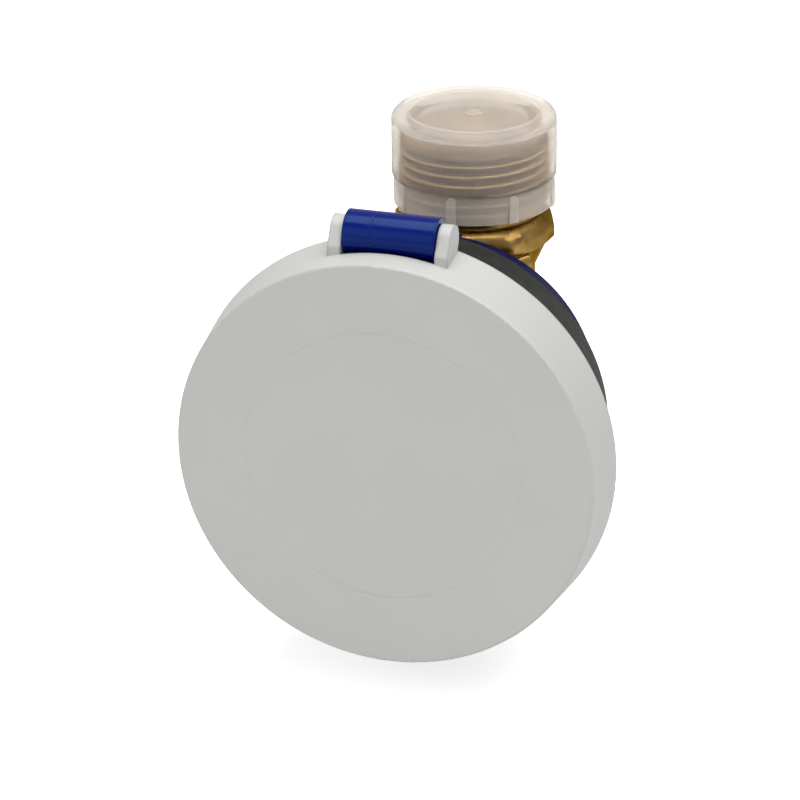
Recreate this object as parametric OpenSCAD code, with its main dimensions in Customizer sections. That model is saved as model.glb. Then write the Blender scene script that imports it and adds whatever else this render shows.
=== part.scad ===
// Single-jet dry water meter with threaded ends, a lidded register and a gear-driven drum counter.
// Built with the register axis along Z and the pipe along Y, then stood up with the pipe vertical.

/* [Pipe ends] */
// Length of the meter from end face to end face
pipe_length = 80; // [78:1:120]
// Outer diameter of the end threads, kept as plain cylinders
thread_d = 26.1; // [24:0.1:28]
// Length of each end thread
thread_len = 11.2; // [9:0.1:16]
// Lead chamfer on the end threads
thread_lead = 0.6; // [0.3:0.1:1]
// Depth of the relief groove behind the threads
relief_depth = 1.05; // [0.4:0.05:1.2]
// Width of the relief groove behind the threads
relief_w = 2.4; // [1.2:0.1:3]
// Diameter of the waterway at the ends
waterway_d = 15; // [12:0.5:17]
// Depth of the waterway before it narrows
waterway_depth = 14; // [12:0.5:18]
// Diameter of the jet channel into the chamber
jet_d = 5.6; // [4:0.2:6.4]
// Sideways offset of the jet where it meets the chamber
jet_offset = 8.5; // [7:0.1:9]
// Octagon collar, size across flats
octagon_af = 27; // [26:0.5:32]
// Octagon collar, length along the pipe
octagon_len = 5.2; // [4:0.2:7]
// Chamfer on the octagon's corners
octagon_chamfer = 2.2; // [0.8:0.1:2.4]
// Chamfer on the octagon's inner edge
octagon_foot_chamfer = 1.2; // [0.5:0.1:1.6]
// Diameter of the neck between collar and bowl
neck_d = 21.6; // [20:0.2:23]
// Diameter of the seal-wire hole through the lug under the collar
wire_hole_d = 1.4; // [1:0.1:1.8]
// Diameter of the seal-wire lug
lug_d = 3.8; // [3:0.1:4.2]
// Length of the seal-wire lug
lug_len = 4.6; // [3:0.1:6]
// Direction of the lug round the pipe, from the lid side
lug_dir = 52; // [40:1:60]

/* [Thread caps] */
// Radial room between a cap and the thread under it
cap_room = 0.57; // [0.56:0.01:0.8]
// Wall of the cap's skirt
cap_skirt_wall = 0.5; // [0.4:0.05:1]
// Step from the skirt out to the upper wall
cap_step = 0.33; // [0.2:0.01:0.6]
// Thickness of the cap's end disc
cap_disc_t = 1.4; // [1:0.1:2]
// Height of the raised rim round the end disc
cap_rim_h = 0.5; // [0.4:0.1:1.6]
// Width of the raised rim
cap_rim_w = 3.1; // [2.4:0.1:4]
// Height of the ring under the disc that seats on the pipe's end face
cap_seat_h = 2.3; // [0.8:0.1:2.6]
// Rounding of the cap's outer end edge
cap_round = 1.4; // [0.5:0.1:2]
// Height of the skirt below the step
cap_skirt_h = 5.3; // [3:0.1:6]
// Number of grip ribs round the skirt
cap_ribs = 8; // [4:1:16]
// Width of each grip rib
cap_rib_w = 1.7; // [0.8:0.1:2.2]

/* [Body and chamber] */
// Diameter of the impeller chamber
chamber_d = 29.2; // [28:0.2:31]
// Height of the chamber's floor, from the pipe axis down
chamber_floor = 8; // [7:0.1:9]
// Thickness of the bowl's bottom
bowl_bottom_t = 4; // [3:0.1:6]
// Wall of the bowl beside the chamber
bowl_wall = 3.3; // [2.5:0.1:4.5]
// Height of the plate's ledge, from the pipe axis up
ledge_h = 9; // [8:0.1:10]
// Diameter of the separating plate
plate_d = 39; // [37:0.1:41]
// Thickness of the separating plate
plate_t = 3; // [2.4:0.1:3.6]
// Wall of the top flange outside the plate's bore
flange_wall = 4.6; // [4.2:0.1:6]
// Thickness of the top flange that the lock ring holds
flange_t = 3; // [2:0.1:4]
// Section diameter of the plate's seal ring
seal_d = 1.4; // [1:0.1:1.8]
// Height of the clamp ring that holds the plate down
clamp_h = 4; // [3:0.1:4.4]

/* [Impeller] */
// Number of impeller vanes
vanes = 8; // [6:1:10]
// Thickness of each vane
vane_t = 1.2; // [0.8:0.1:1.6]
// Running gap between vanes and chamber wall
vane_gap = 1; // [0.6:0.1:1.5]
// Diameter of the impeller's hub
hub_d = 7.2; // [6:0.2:9]
// Diameter of the impeller's magnet
magnet_d = 10.4; // [8:0.2:13]
// Height of both coupling magnets
magnet_h = 3.2; // [2.6:0.1:3.4]
// Diameter of the lower pivot pin
pivot_d = 1.9; // [1.4:0.1:2.4]
// Diameter of the upper spindle
spindle_d = 1.5; // [1:0.1:2]

/* [Register case] */
// Taper of the window, shroud and lock ring, as radius gained per millimetre of height
case_taper = 0.275; // [0.24:0.005:0.3]
// Thickness of the register's base
base_t = 2.05; // [1.5:0.05:2.5]
// Wall of the clear window
window_wall = 1.5; // [1:0.1:2]
// Thickness of the window's top
window_t = 2.3; // [1.5:0.1:3]
// Room between window and shroud
shroud_room = 3.9; // [3.2:0.1:4.6]
// Wall of the shroud
shroud_wall = 1.9; // [1.4:0.1:2.4]
// Height of the lock ring's upright part over the base
ring_rise = 4.6; // [3.5:0.1:5.5]
// Wall of the lock ring at its foot
ring_wall = 1.8; // [0.8:0.1:2]
// Height of the shroud's neck inside the lid
shroud_neck_h = 2.7; // [2:0.1:3.4]
// Overlap of the bezel lip on the window's edge
bezel_lip = 2; // [1.5:0.1:3.5]
// Wall of the shroud's neck
shroud_neck_wall = 1.9; // [1.4:0.1:2.4]

/* [Lid and hinge] */
// Depth of the lid from face to rim edge
lid_depth = 10.4; // [9:0.1:12]
// Thickness of the lid's face
lid_t = 2; // [1.5:0.1:2.5]
// Wall of the lid's rim at its edge
lid_wall = 1.9; // [1.5:0.1:2]
// Overhang of the lid past the shroud
lid_overhang = 1; // [0.8:0.05:1.5]
// Radius lost from rim edge to face
lid_draft = 1.2; // [0.5:0.1:1.5]
// Rounding of the face's edge
lid_round = 0.4; // [0.3:0.1:1.2]
// Diameter of the hinge barrel
barrel_d = 7.4; // [6.4:0.1:7.6]
// Length of the hinge barrel
barrel_len = 15.6; // [12:0.2:20]
// Thickness of each lid ear
ear_t = 2.2; // [1.8:0.1:3]
// Gap between barrel end and ear
ear_gap = 0.2; // [0.15:0.05:0.4]
// Radius of each ear's rounded top
ear_r = 2.7; // [2:0.1:3.2]
// Plastic left over each end of the hinge pin
ear_cover = 0.8; // [0.6:0.1:1]
// Diameter of the hinge pin
pin_d = 2.4; // [1.6:0.1:3]
// Depth of the rim left in front of the hinge notch
notch_land = 4.3; // [4:0.1:4.6]

/* [Gear train] */
// Module of the train wheels
wheel_m = 0.42; // [0.4:0.01:0.44]
// Teeth on the large wheels
wheel_teeth = 40; // [36:1:42]
// Teeth on the pinions
pinion_teeth = 10; // [9:1:11]
// Teeth on the wheel that drives the counter
drive_teeth = 20; // [18:1:22]
// Thickness of wheels and pinions
gear_t = 1.5; // [1.2:0.1:1.8]
// Gap between gear levels
gear_gap = 0.5; // [0.4:0.05:0.8]
// Diameter of the gear arbors
arbor_d = 1.6; // [1.2:0.1:1.8]
// Direction of the first arbor from the register's centre
first_dir = 215; // [212:1:218]

/* [Counter] */
// Number of number drums
drums = 8; // [6:1:8]
// Diameter of the number drums
drum_d = 9.2; // [8.8:0.1:10]
// Spacing of the drums along their shaft
drum_pitch = 3.6; // [3.4:0.05:3.8]
// Right end of the drum row, from the register's centre
drum_row_end = 12; // [11:0.1:12.5]
// Height of the drum axis on the dial, from the centre towards the hinge
drum_y = 5; // [4.6:0.1:5.6]
// Diameter of the drum shaft
drum_shaft_d = 1.6; // [1.2:0.1:1.8]
// Diameter of the carry pinions' shaft
carry_shaft_d = 1; // [0.8:0.1:1.2]
// Teeth on each drum's gear
drum_teeth = 20; // [20:1:20]
// Teeth on each carry pinion
carry_teeth = 8; // [8:1:8]
// Module of drum gears and carry pinions
carry_m = 0.4; // [0.38:0.01:0.41]
// Thickness of the dial plate
dial_t = 0.8; // [0.6:0.1:1.2]

/* [Hidden] */
$fn = 72;
touch = 0.05;       // running clearance of pins, arbors and shafts
turn_gap = 0.3;     // clearance round pieces that turn by hand
eps = 0.01;
flats = 8;          // sides of the collar
seam_turn = 33;     // keeps the seams of round pieces off the collar's corners

brass = "#b58a3c";
pale = "#c9cac4";
dark = "#3a3a37";
blue = "#1a2f8c";
milky = "#cfc7b8";
steel = "#9a9da0";
black = "#202020";
white = "#f2f2ee";
red = "#c01818";

// Pipe ends, measured along the pipe from its middle
end_y = pipe_length / 2;
thread_r = thread_d / 2;
thread_start = end_y - thread_len;
octagon_top = thread_start - relief_w;
octagon_bottom = octagon_top - octagon_len;
octagon_r = octagon_af / 2 / cos(180 / flats);
neck_r = neck_d / 2;
cone_h = octagon_r - neck_r + 1.4;
cone_top_r = octagon_af / 2 - 0.1;
lug_at = neck_r + 1.4;
lug_drop = 1.9;

// Thread caps
cap_in_r = thread_r + cap_room;
cap_skirt_r = cap_in_r + cap_skirt_wall;
cap_r = cap_skirt_r + cap_step;
cap_foot = max(octagon_top + 0.6, thread_start - 0.8);
cap_step_y = cap_foot + cap_skirt_h;
cap_seat_r = thread_r - thread_lead - 0.6;
cap_seat_w = min(2.4, cap_seat_r - waterway_d / 2 - 0.4);
cap_disc_y = end_y + cap_seat_h;
cap_end = cap_disc_y + cap_disc_t + cap_rim_h;

// Counter drive in plan
drum_r = drum_d / 2;
crown_teeth = 20;
crown_r = drum_r - 0.9;
crown_m = 2 * crown_r / crown_teeth;
crown_face = drum_row_end - 0.2;
crown_h = 0.62;
crown_plane = crown_face + 0.35;
crown_pinion_teeth = 10;
crown_pinion_r = crown_m * crown_pinion_teeth / 2;

// Gear train: centres of the arbors on the base
pair_d = wheel_m * (wheel_teeth + pinion_teeth) / 2;
drive_d = wheel_m * (wheel_teeth + drive_teeth) / 2;
function polar(r, a) = [r * cos(a), r * sin(a)];
// Point at distances a from p and b from q, on the right of the line from p to q
function meet(p, q, a, b) = let (d = norm(q - p), u = (q - p) / d,
    s = (a * a - b * b + d * d) / (2 * d), h = sqrt(a * a - s * s))
    p + u * s + [u.y, -u.x] * h;
centre_at = [0, 0];
first_at = polar(pair_d, first_dir);
second_at = first_at + polar(pair_d, first_dir - 250);
drive_at = [crown_plane + crown_pinion_r, drum_y];
third_at = meet(second_at, drive_at, pair_d, drive_d);
function dir(p, q) = atan2(q.y - p.y, q.x - p.x);
// Turn of a gear that meshes with one of z1 teeth turned by t1, with line of centres at a
function mesh_turn(a, z1, t1, z2) = a + 180 - 180 / z2 + (a - t1) * z1 / z2;
first_turn = mesh_turn(first_dir, pinion_teeth, 0, wheel_teeth);
second_turn = mesh_turn(dir(first_at, second_at), pinion_teeth, 0, wheel_teeth);
third_turn = mesh_turn(dir(second_at, third_at), pinion_teeth, 0, wheel_teeth);
drive_turn = mesh_turn(dir(third_at, drive_at), wheel_teeth, third_turn, drive_teeth);

// Heights up the register axis, from the pipe axis
ring_bottom = max(octagon_r, cap_r) + 0.6;
ring_lip_t = 0.9;
flange_bottom = ring_bottom + ring_lip_t + turn_gap;
body_top = max(flange_bottom + flange_t, ledge_h + plate_t + clamp_h + 2.5);
base_bottom = body_top + touch;
base_top = base_bottom + base_t;
function level(i) = base_top + gear_gap + i * (gear_t + gear_gap);
bridge_bottom = level(2) + gear_t + 1.2;
bridge_t = 1.4;
bridge_top = bridge_bottom + bridge_t;
drum_w = bridge_top + 0.5 + drum_r;
dial_bottom = drum_w + drum_r + 0.4;
dial_top = dial_bottom + dial_t;
hand_bottom = dial_top + 0.5;
hand_t = 0.7;
hand_top = hand_bottom + hand_t + 0.3;
window_in_top = hand_bottom + hand_t + 0.9;
window_top = window_in_top + window_t;
bezel_t = 0.9;
shroud_top = window_top + 0.1 + bezel_t;
shoulder = shroud_top - shroud_neck_h;
lid_back = shoulder + 0.4;
lid_face = lid_back + lid_depth;

// Radii of the body and the register case
chamber_r = chamber_d / 2;
bowl_r = chamber_r + bowl_wall;
plate_r = plate_d / 2;
plate_bore_r = plate_r + turn_gap;
seal_r = (chamber_r + plate_r) / 2;
gear_room_r = wheel_m * (wheel_teeth + 2) / 2;
train_r = max(norm(second_at) + gear_room_r, norm(third_at) + gear_room_r);
flange_r = max(plate_bore_r + flange_wall, train_r + window_wall + 0.9);
flange_neck_r = flange_r - 1.6;
base_r = flange_r - 0.1;
ring_in_r = flange_r + turn_gap;
ring_foot_r = ring_in_r + ring_wall;
ring_top = base_top + ring_rise;
function window_r(w) = base_r + case_taper * (min(w, window_in_top) - base_top);
function shroud_in(w) = window_r(w) + shroud_room;
function shroud_out(w) = shroud_in(w) + shroud_wall;
shroud_bottom = ring_top + 0.1;
shroud_foot_t = 1.5;
shroud_max_r = shroud_out(base_top) + case_taper * (shoulder - base_top);
neck_out_r = shroud_max_r - 2;
neck_in_r = max(window_r(window_top) + 0.32, neck_out_r - shroud_neck_wall);
bezel_r = window_r(window_top) - bezel_lip;
ring_top_r = shroud_out(shroud_bottom) - 0.35;
arm_in_r = shroud_in(shroud_bottom) + turn_gap;
arm_out_r = shroud_out(shroud_bottom) - 0.35;
arm_rise = shroud_bottom + 2;
lid_r = shroud_max_r + lid_overhang;
lid_face_r = lid_r - lid_draft;

// Hinge
barrel_r = barrel_d / 2;
hinge_w = lid_back + 2.1;
hinge_y = max(lid_r + 0.9, neck_out_r + barrel_r + 0.3);
ear_in = barrel_len / 2 + ear_gap;
ear_front = lid_face - 4.3;
pin_half = ear_in + ear_t - ear_cover;
notch_w = lid_face - notch_land;
arm_half = barrel_len / 2 - 2.6;

// Impeller, heights along the register axis
vane_r = chamber_r - vane_gap;
vane_low = -chamber_floor + 1.5;
vane_top = ledge_h - magnet_h - 1.4;
floor_r = chamber_r - 5.1;
floor_rise = 6;
magnet_top = ledge_h - 1;
magnet_low = magnet_top - magnet_h;
stone_h = 1.2;
stone_low = vane_low + 4;
pivot_low = -chamber_floor - 1.6;
spindle_low = stone_low + stone_h + 1;
spindle_top = ledge_h + 1.2;

// Cup of the register's base over the plate
cup_floor = ledge_h + plate_t + 0.3;
cup_t = 1;
follower_low = cup_floor + cup_t + 0.6;
cup_r = magnet_d / 2 + 1;
shield_r = cup_r + 1.2 + turn_gap;

// Arbors and posts of the train
arbor_r = arbor_d / 2;
arbor_low = base_top - 0.8;
arbor_top = bridge_top + 0.3;
post_dirs = [355, 90, 180, 243];
post_ring = window_r(base_top) - window_wall - 1.9;
post_r = 1.6;

// Counter
drum_len = drum_pitch - 0.2;
rim_start = 0.5;
gear_start = drum_len - 1;
crown_w = drum_w - crown_r;
carry_dir = -22;
carry_dist = carry_m * (drum_teeth + carry_teeth) / 2;
carry_y = drum_y + carry_dist * cos(carry_dir);
carry_w = drum_w + carry_dist * sin(carry_dir);
lock_r = carry_dist - carry_m * (carry_teeth + 2) / 2 - 0.3;
drum_shaft_r = drum_shaft_d / 2;
carry_shaft_r = carry_shaft_d / 2;
bracket_t = 1.2;
bracket_left = drum_row_end - drums * drum_pitch - 0.6 - bracket_t;
bracket_right = drive_at.x + crown_pinion_r + 1;
function drum_x(i) = drum_row_end - i * drum_pitch;

// Shared shapes

// Stands the meter up: origin at the inlet end face, pipe along Z, register facing -Y
module stand() translate([0, 0, end_y]) rotate([90, 0, 0]) children();

// Turns a shape made along Z to run along the pipe, towards the side given as 1 or -1
module along_pipe(side = 1) mirror([0, side < 0 ? 1 : 0, 0]) rotate([-90, 0, 0]) children();

// Cylinder between two points
module rod(p, q, r) {
    v = q - p;
    translate(p) rotate([0, acos(v.z / norm(v)), atan2(v.y, v.x)]) cylinder(h = norm(v), r = r);
}

module ring(r_out, r_in, h) difference() {
    cylinder(h = h, r = r_out);
    translate([0, 0, -1]) cylinder(h = h + 2, r = r_in);
}

function involute(a) = tan(a) * 180 / PI - a;
// Half the angle of a tooth at radius r, for pitch radius pr and base radius br
function half_tooth(r, pr, br, z, share) =
    share * 180 / z + involute(acos(br / pr)) - involute(acos(min(1, br / max(r, br))));
// Outline of a spur gear with stub teeth; a tooth is centred on the X axis
function gear_outline(z, m, share = 0.4) = let (pr = z * m / 2, br = pr * cos(20), tip = pr + 0.72 * m,
    root = pr - 0.92 * m, low = max(br, root + eps), half = function (r) half_tooth(r, pr, br, z, share))
    [for (i = [0 : z - 1], p = [[root, -half(low)], [low, -half(low)], [pr, -half(pr)], [tip, -half(tip)],
        [tip, half(tip)], [pr, half(pr)], [low, half(low)], [root, half(low)]])
        polar(p[0], p[1] + i * 360 / z)];

module gear(z, m, h, share = 0.4) linear_extrude(h) polygon(gear_outline(z, m, share));

// Turns a shape made along Z to run along X, with its X towards the pipe and its Y up the register axis
module along_x() rotate([90, 0, 90]) children();

// Brass body

module bowl_outline() {
    low = -chamber_floor - bowl_bottom_t;
    slope_r = bowl_r - 3.9;
    polygon([[0, low], [slope_r - 2.4, low], [slope_r, low + 2.6], [bowl_r, 0],
        [flange_neck_r - 0.6, ledge_h + 0.5],
        [flange_neck_r, ledge_h + 2.5], [flange_neck_r, flange_bottom], [flange_r, flange_bottom],
        [flange_r, body_top - 0.5], [flange_r - 0.5, body_top], [0, body_top]]);
}

module chamber_outline() {
    polygon([[0, -chamber_floor], [floor_r, -chamber_floor], [chamber_r, -chamber_floor + floor_rise],
        [chamber_r, ledge_h], [plate_bore_r, ledge_h], [plate_bore_r, body_top + 1], [0, body_top + 1]]);
}

// Half of the pipe from its middle to one end: neck, cone under the collar, relief groove and thread
function pipe_side(side) = [for (p = [[neck_r, octagon_bottom - cone_h], [cone_top_r, octagon_bottom + 0.5],
    [thread_r - relief_depth, octagon_bottom + 0.5], [thread_r - relief_depth, thread_start],
    [thread_r, thread_start], [thread_r, end_y - thread_lead], [thread_r - thread_lead, end_y]])
    [p.x, side * p.y]];
function backwards(list) = [for (i = [len(list) - 1 : -1 : 0]) list[i]];

module pipe() rotate([-90, 0, 0]) rotate(seam_turn) rotate_extrude()
    polygon(concat([[0, -end_y]], backwards(pipe_side(-1)), pipe_side(1), [[0, end_y]]));

module collar(side) along_pipe(side) intersection() {
    translate([0, 0, octagon_bottom]) cylinder(h = octagon_len, r = octagon_r, $fn = flats);
    rotate(seam_turn) rotate_extrude() polygon([[0, octagon_bottom - 1],
        [octagon_r - octagon_foot_chamfer - 1, octagon_bottom - 1],
        [octagon_r + 1, octagon_bottom + octagon_foot_chamfer + 1],
        [octagon_r + 1, octagon_top - octagon_chamfer - 1],
        [octagon_r - octagon_chamfer - 1, octagon_top + 1], [0, octagon_top + 1]]);
}

// Bar across the seal-wire lug, under the collar and square to the lug's direction
module lug_bar(len, r) {
    mid = [lug_at * sin(lug_dir), octagon_bottom - lug_drop, lug_at * cos(lug_dir)];
    along = [cos(lug_dir), 0, -sin(lug_dir)] * len / 2;
    rod(mid - along, mid + along, r);
}

// Waterway, jet channel and seal-wire hole of one end
module pipe_cuts(side) {
    along_pipe(side) translate([0, 0, end_y - waterway_depth]) cylinder(h = waterway_depth + 1, d = waterway_d);
    mirror([0, side < 0 ? 1 : 0, 0]) {
        rod([jet_offset - 6, end_y - waterway_depth + 1, 0], [jet_offset, chamber_r * 0.7, 0], jet_d / 2);
        lug_bar(lug_len + 1, wire_hole_d / 2);
    }
}

module meter_body() stand() color(brass) difference() {
    union() {
        rotate_extrude() bowl_outline();
        pipe();
        for (side = [1, -1]) {
            collar(side);
            mirror([0, side < 0 ? 1 : 0, 0]) lug_bar(lug_len, lug_d / 2);
        }
    }
    rotate_extrude() chamber_outline();
    seal_groove();
    translate([0, 0, pivot_low]) cylinder(h = chamber_floor, r = pivot_d / 2 + 0.02);
    pipe_cuts(1);
    pipe_cuts(-1);
}

module seal_groove() translate([0, 0, ledge_h - seal_d + 0.02]) ring(seal_r + seal_d / 2 + 0.1,
    seal_r - seal_d / 2 - 0.1, seal_d);

// Basket in the inlet, open to the pipe, with a drilled bottom and slotted wall
module inlet_strainer() {
    out_r = waterway_d / 2 - touch;
    wall = 1.2;
    len = waterway_depth - 1;
    slots = 8;
    stand() color(white) along_pipe(-1) translate([0, 0, end_y - waterway_depth]) difference() {
        cylinder(h = len, r = out_r);
        translate([0, 0, wall]) cylinder(h = len, r = out_r - wall);
        for (i = [0 : slots - 1]) rotate(i * 360 / slots)
            translate([0, -0.6, 2 * wall]) cube([out_r + 1, 1.2, len - 4 * wall]);
        for (i = [0 : slots - 1]) rotate(i * 360 / slots)
            translate([out_r * 0.55, 0, -1]) cylinder(h = wall + 2, r = 1);
        translate([0, 0, -1]) cylinder(h = wall + 2, r = 1.4);
    }
}

// Thread caps

module cap_outline() difference() {
    union() {
        translate([0, cap_foot]) square([cap_skirt_r, cap_skirt_h + eps]);
        translate([0, cap_step_y]) square([cap_r, cap_end - cap_round - cap_step_y]);
        translate([0, cap_end - cap_round - eps]) square([cap_r - cap_round, cap_round + eps]);
        intersection() {
            translate([cap_r - cap_round, cap_end - cap_round]) circle(cap_round);
            translate([0, cap_end - cap_round - eps]) square([cap_r, cap_round + 1]);
        }
    }
    translate([0, cap_foot - 1]) square([cap_in_r, end_y - cap_foot + 1]);
    translate([cap_seat_r, end_y - 1]) square([cap_in_r - cap_seat_r, cap_seat_h + 1]);
    translate([-1, end_y - 1]) square([cap_seat_r - cap_seat_w + 1, cap_seat_h + 1]);
    translate([-1, cap_disc_y + cap_disc_t]) square([cap_r - cap_rim_w + 1, cap_rim_h + 1]);
}

module cap_rib() {
    rib_h = cap_skirt_h - cap_rib_w / 2 - 0.35;
    depth = cap_r - cap_skirt_r + cap_skirt_wall / 2;
    translate([cap_r - depth, 0, cap_foot]) {
        translate([0, -cap_rib_w / 2, 0]) cube([depth, cap_rib_w, rib_h]);
        translate([0, 0, rib_h]) rotate([0, 90, 0]) cylinder(h = depth, d = cap_rib_w);
    }
}

module thread_cap(side) stand() color(milky, 0.7) along_pipe(side) {
    rotate_extrude() cap_outline();
    for (i = [0 : cap_ribs - 1]) rotate(i * 360 / cap_ribs) cap_rib();
}
module upper_thread_cap() thread_cap(1);
module lower_thread_cap() thread_cap(-1);

// Impeller and its bearings

module pivot_pin() stand() color(steel) translate([0, 0, pivot_low])
    cylinder(h = stone_low - touch - pivot_low, d = pivot_d);

module bearing_stone() stand() color(red) translate([0, 0, stone_low])
    cylinder(h = stone_h, r = pivot_d / 2 + touch - 0.02);

module impeller() stand() color(white) difference() {
    union() {
        translate([0, 0, vane_low]) cylinder(h = magnet_low - vane_low, d = hub_d);
        for (i = [0 : vanes - 1]) rotate(i * 360 / vanes) rotate([90, 0, 0])
            translate([0, 0, -vane_t / 2]) linear_extrude(vane_t)
                polygon([[1.5, vane_low], [floor_r - 0.6, vane_low], [vane_r, vane_low + floor_rise - 1],
                    [vane_r, vane_top], [1.5, vane_top]]);
        translate([0, 0, magnet_low - 1]) cylinder(h = 1, d = magnet_d);
    }
    translate([0, 0, vane_low - 1]) cylinder(h = stone_low + stone_h - vane_low + 1, r = pivot_d / 2 + touch);
    translate([0, 0, spindle_low]) cylinder(h = spindle_top, r = spindle_d / 2 + 0.02);
}

module impeller_spindle() stand() color(steel) translate([0, 0, spindle_low])
    cylinder(h = spindle_top - spindle_low, d = spindle_d);

module impeller_magnet() stand() color(black) translate([0, 0, magnet_low])
    ring(magnet_d / 2, spindle_d / 2 + touch, magnet_h);

module separating_plate() stand() color(black) difference() {
    translate([0, 0, ledge_h]) cylinder(h = plate_t, r = plate_r);
    translate([0, 0, ledge_h - 1]) cylinder(h = spindle_top - ledge_h + 1 + touch, r = spindle_d / 2 + touch);
    for (i = [0 : 2]) rotate(i * 120) translate([chamber_r * 0.55, -0.8, ledge_h - 1])
        cube([chamber_r * 0.3, 1.6, 1.8]);
}

module plate_seal() stand() color(black) translate([0, 0, ledge_h - seal_d / 2 + 0.01])
    rotate_extrude() translate([seal_r, 0]) circle(d = seal_d - 0.04, $fn = 32);

// Threaded ring with two spanner slots
module clamp_ring() stand() color(brass) translate([0, 0, ledge_h + plate_t]) difference() {
    ring(plate_bore_r - touch, plate_r - 4.5, clamp_h);
    for (a = [0, 180]) rotate(a) translate([plate_r - 5.5, -1.5, clamp_h - 1.5]) cube([3.5, 3, 2]);
}

// Register case

module shield_ring() stand() color(steel) translate([0, 0, ledge_h + plate_t + touch])
    ring(shield_r + 1.5, shield_r, body_top - ledge_h - plate_t - 1.5);

module arbor_holes(h) for (p = [first_at, second_at, third_at, drive_at])
    translate(p) cylinder(h = h, r = arbor_r + touch);

module register_base() stand() color(white) difference() {
    union() {
        translate([0, 0, base_bottom]) cylinder(h = base_t, r = base_r);
        translate([0, 0, base_bottom - 1.2]) cylinder(h = 1.3, r = plate_bore_r - turn_gap);
        translate([0, 0, cup_floor]) cylinder(h = base_bottom - cup_floor + eps, r = cup_r + 1.2);
        for (a = post_dirs) translate(concat(polar(post_ring, a), base_top - eps))
            cylinder(h = bridge_bottom - base_top + eps, r = post_r);
    }
    translate([0, 0, cup_floor + cup_t]) cylinder(h = base_top, r = cup_r);
    translate([0, 0, cup_floor + 0.4]) cylinder(h = cup_t, r = arbor_r + touch);
    translate([0, 0, base_bottom - 2]) ring(shield_r + 1.8, shield_r - turn_gap + touch, 2 - touch);
    translate([0, 0, arbor_low - touch]) arbor_holes(base_t);
}

module register_window() stand() color("white", 0.25) rotate_extrude()
    polygon([[0, window_in_top], [window_r(window_in_top) - window_wall, window_in_top],
        [window_r(base_top) - window_wall, base_top], [window_r(base_top), base_top],
        [window_r(window_in_top), window_in_top], [window_r(window_in_top), window_top - 0.6],
        [window_r(window_in_top) - 0.6, window_top], [0, window_top]]);

module shroud_outline() {
    foot_in = window_r(shroud_bottom + shroud_foot_t) + 0.35;
    foot_out = shroud_out(shroud_bottom);
    inner_top = shoulder - 1.6;
    polygon([[foot_in, shroud_bottom], [foot_out - 0.9, shroud_bottom], [foot_out - 0.2, shroud_bottom + 0.35],
        [foot_out + 0.2, shroud_bottom + 1.1], [shroud_max_r, shoulder - 0.4], [shroud_max_r - 0.4, shoulder],
        [neck_out_r, shoulder], [neck_out_r, shroud_top - 0.4], [neck_out_r - 0.4, shroud_top],
        [bezel_r, shroud_top], [bezel_r, shroud_top - bezel_t],
        [neck_in_r, shroud_top - bezel_t], [neck_in_r, inner_top], [shroud_in(inner_top - 1), inner_top - 1],
        [shroud_in(shroud_bottom + shroud_foot_t), shroud_bottom + shroud_foot_t],
        [foot_in, shroud_bottom + shroud_foot_t]]);
}

module register_shroud() stand() color(dark) difference() {
    rotate_extrude() shroud_outline();
    along_x() translate([0, 0, -arm_half - turn_gap]) linear_extrude(2 * (arm_half + turn_gap))
        polygon([[arm_in_r - turn_gap, shroud_bottom - 1], [hinge_y, shroud_bottom - 1],
            [hinge_y, shoulder + eps], [neck_out_r + eps, shoulder + eps], [neck_out_r + eps, shoulder - 0.4],
            [shroud_in(arm_rise) - turn_gap, arm_rise]]);
}

// Lock ring that holds the register to the body, with the hinge arm and barrel moulded on
module hinge_ring() stand() color(blue) difference() {
    union() {
        rotate_extrude() polygon([[flange_neck_r + turn_gap, ring_bottom], [ring_foot_r, ring_bottom],
            [ring_top_r, ring_top], [window_r(ring_top) + 0.4, ring_top], [ring_in_r, base_top],
            [ring_in_r, ring_bottom + ring_lip_t], [flange_neck_r + turn_gap, ring_bottom + ring_lip_t]]);
        along_x() translate([0, 0, -arm_half]) linear_extrude(2 * arm_half)
            polygon([[arm_in_r, ring_top - 0.8], [arm_out_r, ring_top - 0.8],
                [shroud_out(shoulder - 2), shoulder - 2],
                [hinge_y + barrel_r * 0.8, hinge_w - barrel_r * 0.6], [hinge_y, hinge_w],
                [neck_out_r + 0.5, hinge_w], [neck_out_r + 0.5, shoulder - 0.2],
                [shroud_in(arm_rise) + 0.1, arm_rise]]);
        hinge_line(barrel_len / 2, barrel_r);
    }
    hinge_line(barrel_len, pin_d / 2 + touch);
}

// Round bar along the hinge axis
module hinge_line(half, r) translate([-half, hinge_y, hinge_w]) rotate([0, 90, 0])
    cylinder(h = 2 * half, r = r);

module hinge_pin() stand() color(steel) hinge_line(pin_half, pin_d / 2);

// Lid

module lid_outline() {
    lip = lid_round;
    difference() {
        union() {
            polygon([[0, lid_back], [lid_r, lid_back], [lid_face_r, lid_face - lip], [0, lid_face - lip]]);
            translate([0, lid_face - lip - eps]) square([lid_face_r - lip, lip + eps]);
            intersection() {
                translate([lid_face_r - lip, lid_face - lip]) circle(lip);
                square([lid_face_r, lid_face]);
            }
        }
        polygon([[-1, lid_back - 1], [lid_r - lid_wall, lid_back - 1], [lid_r - lid_wall, lid_back],
            [lid_face_r - lid_wall, lid_face - lid_t], [-1, lid_face - lid_t]]);
    }
}

module ear() linear_extrude(ear_t) {
    foot = lid_r - 2.2;
    lean = 40;
    translate([hinge_y, hinge_w]) circle(ear_r);
    polygon([[foot, lid_back], [foot, ear_front], [lid_r - 0.5, ear_front],
        [hinge_y + ear_r * sin(lean), hinge_w + ear_r * cos(lean)], [hinge_y, hinge_w],
        [hinge_y - ear_r * 0.7, hinge_w - ear_r * 0.7]]);
}

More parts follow.
